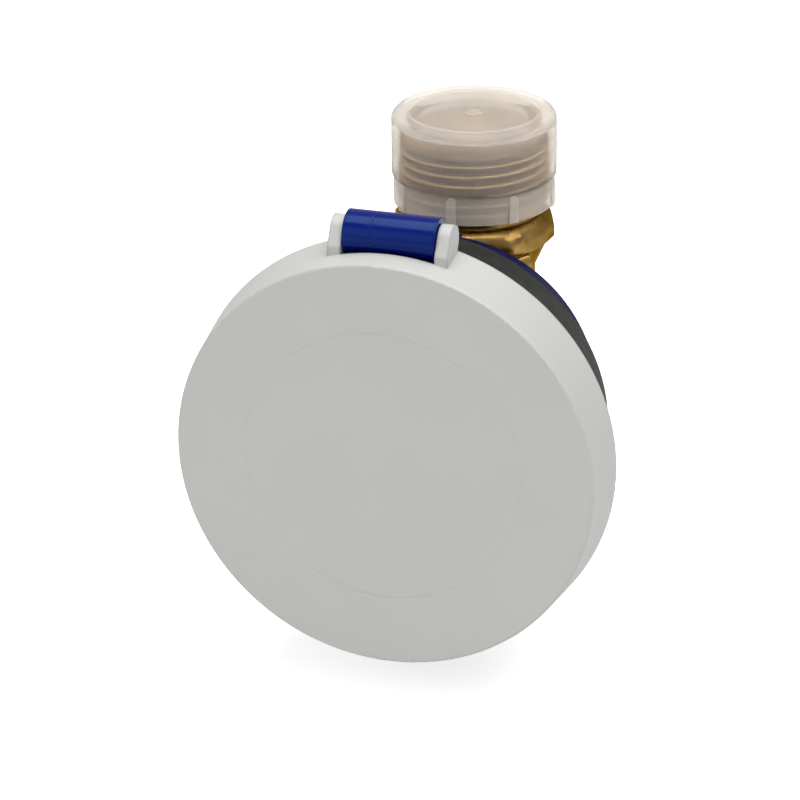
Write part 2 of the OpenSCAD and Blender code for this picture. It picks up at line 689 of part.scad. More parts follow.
module lid() stand() color(pale) difference() {
    union() {
        difference() {
            rotate_extrude() lid_outline();
            translate([-ear_in, lid_r - 6, lid_back - 1]) cube([2 * ear_in, 12, notch_w - lid_back + 1]);
        }
        along_x() translate([0, 0, ear_in]) ear();
        along_x() translate([0, 0, -ear_in - ear_t]) ear();
    }
    hinge_line(pin_half + touch, pin_d / 2 + touch);
}

// Gear train

module follower_magnet() stand() color(black) translate([0, 0, follower_low])
    ring(magnet_d / 2, arbor_r + touch, magnet_h);

module drive_arbor() stand() color(white) {
    translate([0, 0, cup_floor + 0.4 + touch]) cylinder(h = arbor_top - cup_floor - 0.4 - touch, r = arbor_r);
    translate([0, 0, follower_low - 0.5]) cylinder(h = 0.5, r = arbor_r + 1.5);
    translate([0, 0, level(0)]) gear(pinion_teeth, wheel_m, gear_t);
}

// Wheel at one level with a pinion above it, on an arbor that ends at a height
module wheel(at, i, turn, pinion, top) translate(at) {
    translate([0, 0, level(i)]) difference() {
        rotate(turn) gear(wheel_teeth, wheel_m, gear_t);
        for (a = [0 : 3]) rotate(turn + 45 + a * 90)
            translate([wheel_m * wheel_teeth * 0.31, 0, -1])
                cylinder(h = gear_t + 2, r = wheel_m * wheel_teeth * 0.11);
    }
    if (pinion) translate([0, 0, level(i) + gear_t - eps]) {
        cylinder(h = gear_gap + 2 * eps, r = wheel_m * pinion_teeth / 2 - wheel_m);
        translate([0, 0, gear_gap + eps]) gear(pinion_teeth, wheel_m, gear_t);
    }
    translate([0, 0, arbor_low]) cylinder(h = top - arbor_low, r = arbor_r);
}
module first_wheel() stand() color(white) wheel(first_at, 0, first_turn, true, hand_top);
module second_wheel() stand() color(white) wheel(second_at, 1, second_turn, true, hand_top);
module third_wheel() stand() color(white) wheel(third_at, 2, third_turn, false, arbor_top);

module counter_drive_wheel() stand() color(white) translate(drive_at) {
    face = 0.8;
    translate([0, 0, level(2)]) rotate(drive_turn) gear(drive_teeth, wheel_m, gear_t);
    translate([0, 0, arbor_low]) cylinder(h = crown_w - arbor_low, r = arbor_r);
    translate([0, 0, crown_w - face / 2]) rotate(180) gear(crown_pinion_teeth, crown_m, face, 0.34);
}

module flow_star() {
    points = 6;
    long_r = 4;
    short_r = 1.9;
    stand() color(red) translate(concat(first_at, hand_bottom)) difference() {
        linear_extrude(hand_t) polygon([for (i = [0 : 2 * points - 1])
            polar(i % 2 == 0 ? long_r : short_r, i * 180 / points)]);
        translate([0, 0, -1]) cylinder(h = hand_t + 2, r = arbor_r + 0.02);
    }
}

module sweep_pointer() {
    reach = 5;
    tail = 2.4;
    stand() color(red) translate(concat(second_at, hand_bottom)) rotate(62) difference() {
        linear_extrude(hand_t) {
            circle(1.5);
            polygon([[-tail, -0.5], [0, -0.7], [reach, -0.12], [reach, 0.12], [0, 0.7], [-tail, 0.5]]);
        }
        translate([0, 0, -1]) cylinder(h = hand_t + 2, r = arbor_r + 0.02);
    }
}

// Bridge over the train, with the counter's brackets and the dial's posts
module counter_frame() stand() color(white) difference() {
    union() {
        translate([0, 0, bridge_bottom]) cylinder(h = bridge_t, r = post_ring + post_r);
        for (a = post_dirs) translate(concat(polar(post_ring, a), bridge_top - eps))
            cylinder(h = dial_bottom - bridge_top + eps, r = post_r - 0.2);
        for (x = [bracket_left, bracket_right]) bracket(x);
    }
    translate([0, 0, bridge_bottom - 1]) {
        arbor_holes(bridge_t + 2);
        cylinder(h = bridge_t + 2, r = arbor_r + touch);
    }
    shaft_line(drum_y, drum_w, drum_shaft_r + 0.02);
    shaft_line(carry_y, carry_w, carry_shaft_r + 0.02);
}

module bracket(x) translate([x, 0, bridge_top - eps]) {
    translate([0, drum_y - 2, 0]) cube([bracket_t, carry_y - drum_y + 4, carry_w + 1.5 - bridge_top]);
    translate([0, drum_y - 2, 0]) cube([bracket_t, 4, drum_w + 1.6 - bridge_top]);
}

// Bar along the counter, through both brackets
module shaft_line(y, w, r) translate([bracket_left, y, w]) rotate([0, 90, 0])
    cylinder(h = bracket_right + bracket_t - bracket_left, r = r);

module drum_shaft() stand() color(steel) shaft_line(drum_y, drum_w, drum_shaft_r);
module carry_shaft() stand() color(steel) shaft_line(carry_y, carry_w, carry_shaft_r);

// Drum i counts from the right: 1 is driven by the train, the others by carry pinions
module number_drum(i) stand() color(i > 3 ? black : red) translate([drum_x(i), drum_y, drum_w]) along_x()
    difference() {
        union() {
            cylinder(h = rim_start + eps, r = lock_r);
            translate([0, 0, rim_start]) cylinder(h = gear_start - rim_start, r = drum_r);
            if (i > 1) translate([0, 0, gear_start - eps]) rotate(carry_dir) gear(drum_teeth, carry_m, 1);
            else {
                translate([0, 0, gear_start - eps]) cylinder(h = drum_len - gear_start + eps, r = drum_r);
                crown();
            }
        }
        translate([0, 0, -1]) cylinder(h = drum_len + 3, r = drum_shaft_r + touch);
    }

// Crown teeth on the side of the first drum, with a gap at the lowest point
module crown() for (k = [0 : crown_teeth - 1]) rotate(-90 + (k + 0.5) * 360 / crown_teeth)
    translate([crown_r - 0.5, -0.19, drum_len - eps]) cube([1, 0.38, crown_h + eps]);

module number_drum_1() number_drum(1);
module number_drum_2() number_drum(2);
module number_drum_3() number_drum(3);
module number_drum_4() number_drum(4);
module number_drum_5() number_drum(5);
module number_drum_6() number_drum(6);
module number_drum_7() number_drum(7);
module number_drum_8() number_drum(8);

// Pinion i joins drum i on its right to drum i + 1 on its left
module carry_pinion(i) stand() color(white)
    translate([drum_x(i + 1) + gear_start + 0.1, carry_y, carry_w]) along_x() difference() {
        rotate(carry_dir + 180 + 180 / carry_teeth) gear(carry_teeth, carry_m, 1.4, 0.36);
        translate([0, 0, -1]) cylinder(h = 4, r = carry_shaft_r + touch);
    }
module carry_pinion_1() carry_pinion(1);
module carry_pinion_2() carry_pinion(2);
module carry_pinion_3() carry_pinion(3);
module carry_pinion_4() carry_pinion(4);
module carry_pinion_5() carry_pinion(5);
module carry_pinion_6() carry_pinion(6);
module carry_pinion_7() carry_pinion(7);

// Dial with a small window over each drum
module dial_plate() {
    window_h = 4;
    stand() color(white) translate([0, 0, dial_bottom]) difference() {
        cylinder(h = dial_t, r = window_r(dial_bottom) - window_wall - 0.3);
        for (i = [1 : drums]) translate([drum_x(i) + rim_start, drum_y - window_h / 2, -1])
            cube([gear_start - rim_start, window_h, dial_t + 2]);
        for (p = [first_at, second_at]) translate(concat(p, -1))
            cylinder(h = dial_t + 2, r = arbor_r + turn_gap);
    }
}

meter_body();
inlet_strainer();
upper_thread_cap();
lower_thread_cap();
pivot_pin();
bearing_stone();
impeller();
impeller_spindle();
impeller_magnet();
separating_plate();
plate_seal();
clamp_ring();
shield_ring();
register_base();
follower_magnet();
drive_arbor();
first_wheel();
second_wheel();
third_wheel();
counter_drive_wheel();
flow_star();
sweep_pointer();
counter_frame();
drum_shaft();
carry_shaft();
number_drum_1();
number_drum_2();
number_drum_3();
number_drum_4();
number_drum_5();
number_drum_6();
number_drum_7();
number_drum_8();
carry_pinion_1();
carry_pinion_2();
carry_pinion_3();
carry_pinion_4();
carry_pinion_5();
carry_pinion_6();
carry_pinion_7();
dial_plate();
register_window();
register_shroud();
hinge_ring();
hinge_pin();
lid();
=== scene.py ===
"""Looks of the water meter: finishes, pipe threads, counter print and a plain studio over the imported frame.

Sizes are in metres in the frame of the part. The pipe runs up Z from the inlet's end face, and the lid faces
-Y. The counter and the dial are laid out in millimetres on their own planes, from the pipe's middle.
"""

from __future__ import annotations

import logging
import math
from dataclasses import dataclass, field
from enum import Enum
from typing import Any, Sequence

import bmesh
import bpy
from mathutils import Matrix, Vector

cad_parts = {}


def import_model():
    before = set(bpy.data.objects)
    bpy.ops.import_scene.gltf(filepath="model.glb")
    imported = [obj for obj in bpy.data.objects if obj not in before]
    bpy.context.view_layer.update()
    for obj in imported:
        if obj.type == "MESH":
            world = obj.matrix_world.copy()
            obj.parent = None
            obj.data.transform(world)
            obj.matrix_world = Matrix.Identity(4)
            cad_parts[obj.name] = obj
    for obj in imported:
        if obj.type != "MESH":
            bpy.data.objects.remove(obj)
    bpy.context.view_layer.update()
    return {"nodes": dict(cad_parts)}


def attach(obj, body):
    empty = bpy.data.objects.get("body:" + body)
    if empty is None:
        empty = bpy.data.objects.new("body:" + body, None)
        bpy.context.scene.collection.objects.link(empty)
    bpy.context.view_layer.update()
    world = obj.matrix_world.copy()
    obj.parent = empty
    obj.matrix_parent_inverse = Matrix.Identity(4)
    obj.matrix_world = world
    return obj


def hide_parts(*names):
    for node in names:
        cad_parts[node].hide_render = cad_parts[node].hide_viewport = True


log = logging.getLogger("water_meter")

MM = 0.001
PIPE_MIDDLE = 40 * MM
Colour = tuple[float, float, float]
Point = tuple[float, float, float]
Pair = tuple[float, float]
Socket = bpy.types.NodeSocket
Piece = bpy.types.Object
Nodes = dict[str, Piece]


def rgba(colour: Colour) -> tuple[float, float, float, float]:
    """Adds a full alpha to a colour."""
    return (*colour, 1.0)


# Finishes


class Bench:
    """Node tree of one material, with short calls that add and join its nodes."""

    noise_span: Pair = (0.3, 0.7)
    edge_samples: int = 6
    mix_colours: tuple[int, int] = (6, 7)
    mix_result: int = 2

    def __init__(self, name: str) -> None:
        """Starts a material with a principled shader and object coordinates.

        Args:
            name: Name of the new material.
        """
        self.material = bpy.data.materials.new(name)
        self.material.use_nodes = True
        self.tree = self.material.node_tree
        self.tree.nodes.clear()
        self.out = self.add("ShaderNodeOutputMaterial")
        self.shader = self.add("ShaderNodeBsdfPrincipled")
        self.join(self.shader.outputs["BSDF"], self.out.inputs["Surface"])
        self.place = self.add("ShaderNodeTexCoord").outputs["Object"]

    def add(self, kind: str, **settings: Any) -> bpy.types.Node:
        """Adds a node and sets its properties.

        Args:
            kind: Blender's name of the node type.
            **settings: Properties to set on the node.

        Returns:
            The new node.
        """
        node = self.tree.nodes.new(kind)
        for key, value in settings.items():
            setattr(node, key, value)
        return node

    def join(self, source: Socket, target: Socket) -> None:
        """Links one socket to another."""
        self.tree.links.new(source, target)

    def feed(self, socket: Socket, value: Any) -> None:
        """Sets a socket to a plain value, or links it when the value is another socket."""
        if isinstance(value, Socket):
            self.join(value, socket)
        else:
            socket.default_value = value

    def source(self, name: str) -> Socket:
        """Gives the socket that feeds an input of the principled shader."""
        return self.shader.inputs[name].links[0].from_socket

    def set(self, **values: Any) -> None:
        """Sets sockets of the principled shader, with underscores for the spaces in their names."""
        for key, value in values.items():
            self.feed(self.shader.inputs[key.replace("_", " ")], value)

    def noise(self, size: float, detail: float = 3.0, stretch: Point = (1, 1, 1)) -> Socket:
        """Adds noise in object space.

        Args:
            size: Size of the noise's patches, in metres.
            detail: Number of finer layers.
            stretch: Scale along each axis, above 1 for finer noise.

        Returns:
            The noise's value.
        """
        mapping = self.add("ShaderNodeMapping")
        self.join(self.place, mapping.inputs["Vector"])
        mapping.inputs["Scale"].default_value = stretch
        node = self.add("ShaderNodeTexNoise")
        self.join(mapping.outputs["Vector"], node.inputs["Vector"])
        node.inputs["Scale"].default_value = 1 / size
        node.inputs["Detail"].default_value = detail
        return node.outputs["Fac"]

    def ramp(self, value: Socket, stops: Sequence[tuple[float, Colour]]) -> Socket:
        """Turns a value into a colour.

        Args:
            value: Socket that drives the ramp.
            stops: Positions along the ramp with their colours.

        Returns:
            The colour socket.
        """
        node = self.add("ShaderNodeValToRGB")
        elements = node.color_ramp.elements
        while len(elements) < len(stops):
            elements.new(0.5)
        for element, (position, colour) in zip(elements, stops):
            element.position = position
            element.color = rgba(colour)
        self.join(value, node.inputs["Fac"])
        return node.outputs["Color"]

    def spread(self, value: Socket, low: float, high: float) -> Socket:
        """Maps the span that noise mostly keeps to onto a range of numbers."""
        node = self.add("ShaderNodeMapRange")
        self.join(value, node.inputs["Value"])
        start, end = self.noise_span
        for key, number in (("From Min", start), ("From Max", end), ("To Min", low), ("To Max", high)):
            node.inputs[key].default_value = number
        return node.outputs["Result"]

    def math(self, operation: str, a: Any, b: Any = 0.0) -> Socket:
        """Adds a math node on two values or sockets and gives its result."""
        node = self.add("ShaderNodeMath", operation=operation)
        self.feed(node.inputs[0], a)
        self.feed(node.inputs[1], b)
        return node.outputs["Value"]

    def mix(self, share: Any, a: Any, b: Any) -> Socket:
        """Mixes two colours, or colour sockets, by a share."""
        node = self.add("ShaderNodeMix", data_type="RGBA")
        self.feed(node.inputs["Factor"], share)
        for index, colour in zip(self.mix_colours, (a, b)):
            self.feed(node.inputs[index], colour)
        return node.outputs[self.mix_result]

    def split(self) -> tuple[Socket, Socket, Socket]:
        """Gives x, y and z of the point that is shaded."""
        node = self.add("ShaderNodeSeparateXYZ")
        self.join(self.place, node.inputs["Vector"])
        return node.outputs["X"], node.outputs["Y"], node.outputs["Z"]

    def length(self, a: Socket, b: Socket) -> Socket:
        """Gives the length of a plane vector."""
        return self.math("SQRT", self.math("ADD", self.math("MULTIPLY", a, a), self.math("MULTIPLY", b, b)))

    def on_pipe(self) -> tuple[Socket, Socket]:
        """Gives the radius about the pipe axis and the distance along it from the pipe's middle."""
        x, y, z = self.split()
        return self.length(x, y), self.math("ABSOLUTE", self.math("SUBTRACT", z, PIPE_MIDDLE))

    def rise(self, value: Socket, start: float, end: float) -> Socket:
        """Gives 0 where a value is before its start, 1 past its end, and a slope between."""
        node = self.add("ShaderNodeMapRange")
        self.join(value, node.inputs["Value"])
        node.inputs["From Min"].default_value = start
        node.inputs["From Max"].default_value = end
        return node.outputs["Result"]

    def line(self, value: Socket, middle: float, width: float) -> Socket:
        """Gives 1 where a value is at the middle of a line, falling to 0 at its width to either side."""
        near = self.math("ABSOLUTE", self.math("SUBTRACT", value, middle))
        return self.rise(near, width, 0.0)

    def soft_edges(self, radius: float) -> Socket:
        """Gives the normal of a surface whose edges are rounded by a radius."""
        node = self.add("ShaderNodeBevel", samples=self.edge_samples)
        node.inputs["Radius"].default_value = radius
        return node.outputs["Normal"]

    def bump(self, height: Socket, depth: float, normal: Any = None, strength: float = 1.0) -> Socket:
        """Adds a bump.

        Args:
            height: Socket with the height, from 0 to 1.
            depth: Height of the relief in metres.
            normal: Normal to build on, such as that of another bump.
            strength: Share of the bump that shows.

        Returns:
            The bumped normal.
        """
        node = self.add("ShaderNodeBump")
        node.inputs["Distance"].default_value = depth
        node.inputs["Strength"].default_value = strength
        self.join(height, node.inputs["Height"])
        if normal is not None:
            self.join(normal, node.inputs["Normal"])
        return node.outputs["Normal"]


class Gloss(Enum):
    """How shiny a moulded plastic is, as its roughness."""

    MATT = 0.62
    SATIN = 0.46
    GLOSSY = 0.22
    POLISHED = 0.15


@dataclass(frozen=True)
class MouldedPlastic:
    """Injection-moulded plastic with fine grain, slight mottling and rounded edges."""

    name: str
    colour: Colour
    gloss: Gloss
    grain: float = 0.35 * MM
    grain_depth: float = 0.012 * MM
    grain_strength: float = 0.6
    mottling: float = 0.06
    patch: float = 14 * MM
    polish_patch: float = 3 * MM
    polish_range: Pair = (-0.05, 0.06)
    edge: float = 0.25 * MM
    sheen: float = 0.5

    def make(self) -> bpy.types.Material:
        """Builds the material.

        Returns:
            The finished material.
        """
        return self.bench().material

    def bench(self) -> Bench:
        """Builds the node tree, for finishes that add to it."""
        bench = Bench(self.name)
        shade = tuple(c * (1 - self.mottling) for c in self.colour)
        light = tuple(min(1.0, c * (1 + self.mottling)) for c in self.colour)
        bench.set(Base_Color=bench.ramp(bench.noise(self.patch), [(0.35, shade), (0.65, light)]))
        bench.set(Specular_IOR_Level=self.sheen)
        low, high = (self.gloss.value + change for change in self.polish_range)
        bench.set(Roughness=bench.spread(bench.noise(self.polish_patch), low, high))
        normal, grain = bench.soft_edges(self.edge), bench.noise(self.grain, 2)
        bench.set(Normal=bench.bump(grain, self.grain_depth, normal, self.grain_strength))
        return bench


@dataclass(frozen=True)
class LidPlastic(MouldedPlastic):
    """Pale lid plastic, with the faint sink ring that shows on the face."""

    ring_radius: float = 23.9 * MM
    ring_width: float = 0.5 * MM
    ring_depth: float = 0.10 * MM
    ring_strength: float = 0.8

    def make(self) -> bpy.types.Material:
        """Builds the material with the ring pressed into its bump.

        Returns:
            The finished material.
        """
        bench = self.bench()
        grain = bench.source("Normal")
        x, _, z = bench.split()
        radius = bench.length(x, bench.math("SUBTRACT", z, PIPE_MIDDLE))
        low = bench.math("SUBTRACT", 1.0, bench.line(radius, self.ring_radius, self.ring_width))
        bench.set(Normal=bench.bump(low, self.ring_depth, grain, self.ring_strength))
        return bench.material


@dataclass(frozen=True)
class HingePlastic(MouldedPlastic):
    """Blue plastic of the lock ring: a polished barrel with a mould's hairline, and a dull ring whose colour
    is mixed towards a painted shade away from the barrel.
    """

    line_x: float = -3.0 * MM
    line_width: float = 0.12 * MM
    line_depth: float = 0.06 * MM
    line_strength: float = 0.6
    arm_height: float = 30 * MM
    polish_width: float = 1 * MM
    shade_from: float = 21 * MM
    shade_to: float = 36 * MM
    ring_colour: Colour = (0.002, 0.005, 0.045)
    ring_sheen: float = 0.02
    glint: Colour = (0.45, 0.85, 1.0)

    def make(self) -> bpy.types.Material:
        """Builds the material with the hairline in its bump and the painted shade on the ring.

        Returns:
            The finished material.
        """
        bench = self.bench()
        grain = bench.source("Normal")
        x, y, _ = bench.split()
        low = bench.math("SUBTRACT", 1.0, bench.line(x, self.line_x, self.line_width))
        barrel = bench.rise(y, -self.arm_height, -self.arm_height - self.polish_width)
        polish = bench.source("Roughness")
        dull = bench.math("MULTIPLY", bench.math("SUBTRACT", 1.0, barrel), Gloss.MATT.value)
        bench.set(Roughness=bench.math("ADD", bench.math("MULTIPLY", polish, barrel), dull))
        sheen = bench.math("ADD", bench.math("MULTIPLY", barrel, self.sheen), self.ring_sheen)
        bench.set(Specular_IOR_Level=sheen, Specular_Tint=rgba(self.glint))
        # Painted shade: the ring behind the barrel sits in the shroud's shadow, so its colour is mixed
        # towards dark navy.
        shade = bench.rise(y, -self.shade_from, -self.shade_to)
        blue = bench.source("Base Color")
        bench.set(Base_Color=bench.mix(shade, rgba(self.ring_colour), blue))
        bench.set(Normal=bench.bump(low, self.line_depth, grain, self.line_strength))
        return bench.material


@dataclass(frozen=True)
class CastBrass:
    """Cast brass, tumbled to a warm half-gloss, with bright turned threads; the thread roots are darkened
    partly by cutting oil and partly by painted shade, and a painted shadow band lies at the thread's lead.
    """

    name: str = "cast_brass"
    bright: Colour = (0.42, 0.275, 0.085)
    worn: Colour = (0.25, 0.15, 0.042)
    edge_tint: Colour = (0.55, 0.42, 0.22)
    crest: Colour = (0.78, 0.58, 0.30)
    root: Colour = (0.06, 0.042, 0.022)
    root_radius: Pair = (12.75 * MM, 12.2 * MM)
    wall_radius: Pair = (11.4 * MM, 11.6 * MM)
    thread: Pair = (28.8 * MM, 39.5 * MM)
    lead: float = 39.45 * MM
    lead_width: float = 0.9 * MM
    lead_radius: Pair = (12.0 * MM, 12.2 * MM)
    blend: float = 0.2 * MM
    stain: float = 5 * MM
    wear: Pair = (0.36, 0.62)
    polish_patch: float = 2 * MM
    roughness: Pair = (0.24, 0.46)
    edge: float = 0.3 * MM
    tool_mark: float = 0.5 * MM
    tool_stretch: Point = (1, 1, 6)
    tool_depth: float = 0.01 * MM
    pit: float = 1.6 * MM
    pit_depth: float = 0.025 * MM
    relief: float = 0.5

    def make(self) -> bpy.types.Material:
        """Builds the material.

        Returns:
            The finished material.
        """
        bench = Bench(self.name)
        bench.set(Metallic=1.0, Specular_Tint=rgba(self.edge_tint))
        metal = bench.ramp(bench.noise(self.stain, 5), list(zip(self.wear, (self.worn, self.bright))))
        radius, along = bench.on_pipe()
        begin, end = self.thread
        inside = bench.math("MULTIPLY", bench.rise(along, begin, begin + self.blend),
                            bench.rise(along, end + self.blend, end))
        wall = bench.math("MULTIPLY", inside, bench.rise(radius, *self.wall_radius))
        metal = bench.mix(wall, metal, rgba(self.crest))
        # Painted shade, with some cutting oil: the roots of the thread are darkened.
        cut = bench.math("MULTIPLY", wall, bench.rise(radius, *self.root_radius))
        # Painted shadow: a dark band round the thread's lead, near the pipe's end.
        lead = bench.math("MULTIPLY", bench.line(along, self.lead, self.lead_width),
                          bench.rise(radius, *self.lead_radius))
        bench.set(Base_Color=bench.mix(bench.math("MAXIMUM", cut, lead), metal, rgba(self.root)))
        bench.set(Roughness=bench.spread(bench.noise(self.polish_patch, 4), *self.roughness))
        marks = bench.noise(self.tool_mark, 2, self.tool_stretch)
        turned = bench.bump(marks, self.tool_depth, bench.soft_edges(self.edge), self.relief)
        bench.set(Normal=bench.bump(bench.noise(self.pit, 4), self.pit_depth, turned, self.relief))
        return bench.material


@dataclass(frozen=True)
class MilkyPolymer:
    """Soft translucent plastic of the thread caps, cloudier where the skirt, ribs and rim are thick, with a
    painted shadow line just under the step.
    """

    name: str = "milky_cap"
    colour: Colour = (0.89, 0.845, 0.785)
    groove: Colour = (0.16, 0.15, 0.13)
    roughness: float = 0.115
    clearness: float = 0.84
    haze: float = 0.22
    bending: float = 1.12
    step: float = 33.3 * MM
    step_width: float = 0.4 * MM
    groove_at: float = 33.2 * MM
    groove_width: float = 0.55 * MM
    groove_share: float = 0.6
    skirt_cloud: float = 0.20
    rib_radius: Pair = (14.2 * MM, 14.32 * MM)
    rib_cloud: float = 0.26
    rim: Pair = (42.6 * MM, 43.4 * MM)
    rim_radius: Pair = (10.2 * MM, 12.2 * MM)
    rim_cloud: Pair = (0.20, 0.27)
    cloud_share: float = 0.94
    cloud_patch: float = 6 * MM
    polish_patch: float = 4 * MM
    polish_range: float = 0.03

    def make(self) -> bpy.types.Material:
        """Builds the material.

        Returns:
            The finished material.
        """
        bench = Bench(self.name)
        radius, along = bench.on_pipe()
        skirt = bench.rise(along, self.step, self.step - self.step_width)
        rib = bench.math("MULTIPLY", skirt, bench.rise(radius, *self.rib_radius))
        between = bench.math("SUBTRACT", 1.0, rib)
        # Painted shadow: a dark line just under the step, left off the ribs.
        groove = bench.math("MULTIPLY", between, bench.line(along, self.groove_at, self.groove_width))
        cloud = tuple(c * self.cloud_share for c in self.colour)
        milk = bench.ramp(bench.noise(self.cloud_patch, 2), [(0.35, cloud), (0.65, self.colour)])
        milk = bench.mix(bench.math("MULTIPLY", groove, self.groove_share), milk, rgba(self.groove))
        thick = bench.math("ADD", bench.math("MULTIPLY", skirt, self.skirt_cloud),
                           bench.math("MULTIPLY", rib, self.rib_cloud))
        rim = bench.spread(bench.rise(radius, *self.rim_radius), *self.rim_cloud)
        thick = bench.math("ADD", thick, bench.math("MULTIPLY", bench.rise(along, *self.rim), rim))
        clear = bench.math("SUBTRACT", self.clearness, thick)
        low, high = self.roughness - self.polish_range, self.roughness + self.polish_range
        rough = bench.spread(bench.noise(self.polish_patch, 1), low, high)
        bench.set(Base_Color=milk, IOR=self.bending, Transmission_Weight=clear, Roughness=rough)
        haze = bench.add("ShaderNodeBsdfTranslucent")
        bench.join(milk, haze.inputs["Color"])
        both = bench.add("ShaderNodeMixShader")
        both.inputs["Fac"].default_value = self.haze
        bench.join(bench.shader.outputs["BSDF"], both.inputs[1])
        bench.join(haze.outputs["BSDF"], both.inputs[2])
        bench.join(both.outputs["Shader"], bench.out.inputs["Surface"])
        return bench.material


@dataclass(frozen=True)
class GroundSteel:
    """Drawn and ground steel of pins, shafts and the shield ring."""

    name: str = "ground_steel"
    colour: Colour = (0.56, 0.57, 0.58)
    shade_share: float = 0.8
    patch: float = 1.5 * MM
    scratch: float = 0.6 * MM
    scratch_stretch: Point = (1, 8, 8)
    roughness: Pair = (0.22, 0.4)
    edge: float = 0.1 * MM

    def make(self) -> bpy.types.Material:
        """Builds the material.

        Returns:
            The finished material.
        """
        bench = Bench(self.name)
        bench.set(Metallic=1.0)
        shade = tuple(c * self.shade_share for c in self.colour)
        bench.set(Base_Color=bench.ramp(bench.noise(self.patch), [(0.35, shade), (0.65, self.colour)]))
        scratches = bench.noise(self.scratch, stretch=self.scratch_stretch)
        bench.set(Roughness=bench.spread(scratches, *self.roughness))
        bench.set(Normal=bench.soft_edges(self.edge))
        return bench.material


@dataclass(frozen=True)
class ClearWindow:
    """Clear moulded window of the register, with faint waves."""

    name: str = "clear_window"
    tint: Colour = (0.95, 0.97, 0.97)
    clear: Colour = (0.98, 0.99, 0.99)
    patch: float = 20 * MM
    roughness: float = 0.02
    bending: float = 1.45
    wave: float = 18 * MM
    wave_depth: float = 0.02 * MM
    wave_strength: float = 0.3

    def make(self) -> bpy.types.Material:
        """Builds the material.

        Returns:
            The finished material.
        """
        bench = Bench(self.name)
        bench.set(Base_Color=bench.ramp(bench.noise(self.patch, 1), [(0.3, self.tint), (0.7, self.clear)]))
        bench.set(Transmission_Weight=1.0, Roughness=self.roughness, IOR=self.bending)
        waves = bench.noise(self.wave, 1)
        bench.set(Normal=bench.bump(waves, self.wave_depth, strength=self.wave_strength))
        return bench.material


@dataclass(frozen=True)
class Ink:
    """Matt printing ink, a little uneven."""

    name: str
    colour: Colour
    thin_gain: float = 1.15
    thin_lift: float = 0.01
    patch: float = 0.6 * MM
    grain: float = 0.4 * MM
    roughness: Pair = (0.5, 0.65)

    def make(self) -> bpy.types.Material:
        """Builds the material.

        Returns:
            The finished material.
        """
        bench = Bench(self.name)
        thin = tuple(min(1.0, c * self.thin_gain + self.thin_lift) for c in self.colour)
        bench.set(Base_Color=bench.ramp(bench.noise(self.patch), [(0.35, self.colour), (0.7, thin)]))
        bench.set(Roughness=bench.spread(bench.noise(self.grain), *self.roughness))
        return bench.material


@dataclass
class Finishes:
    """Every material of the meter, made once."""

    made: dict[str, bpy.types.Material] = field(default_factory=dict)

    def make_all(self) -> None:
        """Makes the materials and keeps them by name."""
        for finish in (
            LidPlastic("lid_plastic", (0.53, 0.535, 0.51), Gloss.SATIN, mottling=0.012, edge=0.7 * MM),
            MouldedPlastic("shroud_plastic", (0.018, 0.018, 0.016), Gloss.MATT, grain_depth=0.03 * MM,
                           mottling=0.12, sheen=0.15),
            HingePlastic("hinge_plastic", (0.001, 0.007, 0.150), Gloss.POLISHED, grain_depth=0.001 * MM,
                         edge=0.5 * MM, sheen=0.24),
            MouldedPlastic("white_acetal", (0.80, 0.80, 0.77), Gloss.SATIN, mottling=0.02, edge=0.08 * MM),
            MouldedPlastic("dial_white", (0.86, 0.86, 0.84), Gloss.MATT, mottling=0.01, edge=0.05 * MM),
            MouldedPlastic("black_moulding", (0.018, 0.018, 0.018), Gloss.SATIN, mottling=0.1,
                           edge=0.08 * MM),
            MouldedPlastic("red_moulding", (0.52, 0.012, 0.012), Gloss.SATIN, mottling=0.05, edge=0.05 * MM),
            MouldedPlastic("ferrite", (0.045, 0.045, 0.05), Gloss.MATT, grain=0.15 * MM,
                           grain_depth=0.02 * MM, mottling=0.2),
            MouldedPlastic("seal_rubber", (0.012, 0.012, 0.012), Gloss.MATT, mottling=0.15),
            MouldedPlastic("bearing_jewel", (0.42, 0.015, 0.05), Gloss.GLOSSY, grain_depth=0.001 * MM),
            CastBrass(),
            MilkyPolymer(),
            GroundSteel(),
            ClearWindow(),
            Ink("black_ink", (0.012, 0.012, 0.012)),
            Ink("red_ink", (0.50, 0.01, 0.01)),
            Ink("white_ink", (0.82, 0.82, 0.80)),
        ):
            self.made[finish.name] = finish.make()

    def dress(self, piece: Piece, name: str) -> None:
        """Gives a piece one material by name.

        Args:
            piece: Object to dress.
            name: Name of the finish.
        """
        piece.data.materials.clear()
        piece.data.materials.append(self.made[name])


# Pieces


def add_piece(name: str, mesh: bpy.types.Mesh, body: str) -> Piece:
    """Puts a mesh into the scene as a piece that rides on a body.

    Args:
        name: Name of the piece.
        mesh: Its mesh, in the part's frame.
        body: Body that carries it.

    Returns:
        The new object.
    """
    piece = bpy.data.objects.new(name, mesh)
    bpy.context.scene.collection.objects.link(piece)
    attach(piece, body)
    log.info("piece %s: %d faces on %s", name, len(mesh.polygons), body)
    return piece


def new_mesh(name: str, points: Sequence[Sequence[float]], faces: Sequence[Sequence[int]]) -> bpy.types.Mesh:
    """Makes a mesh from points and faces."""
    mesh = bpy.data.meshes.new(name)
    mesh.from_pydata([tuple(p) for p in points], [], [tuple(f) for f in faces])
    mesh.validate()
    mesh.update()
    return mesh


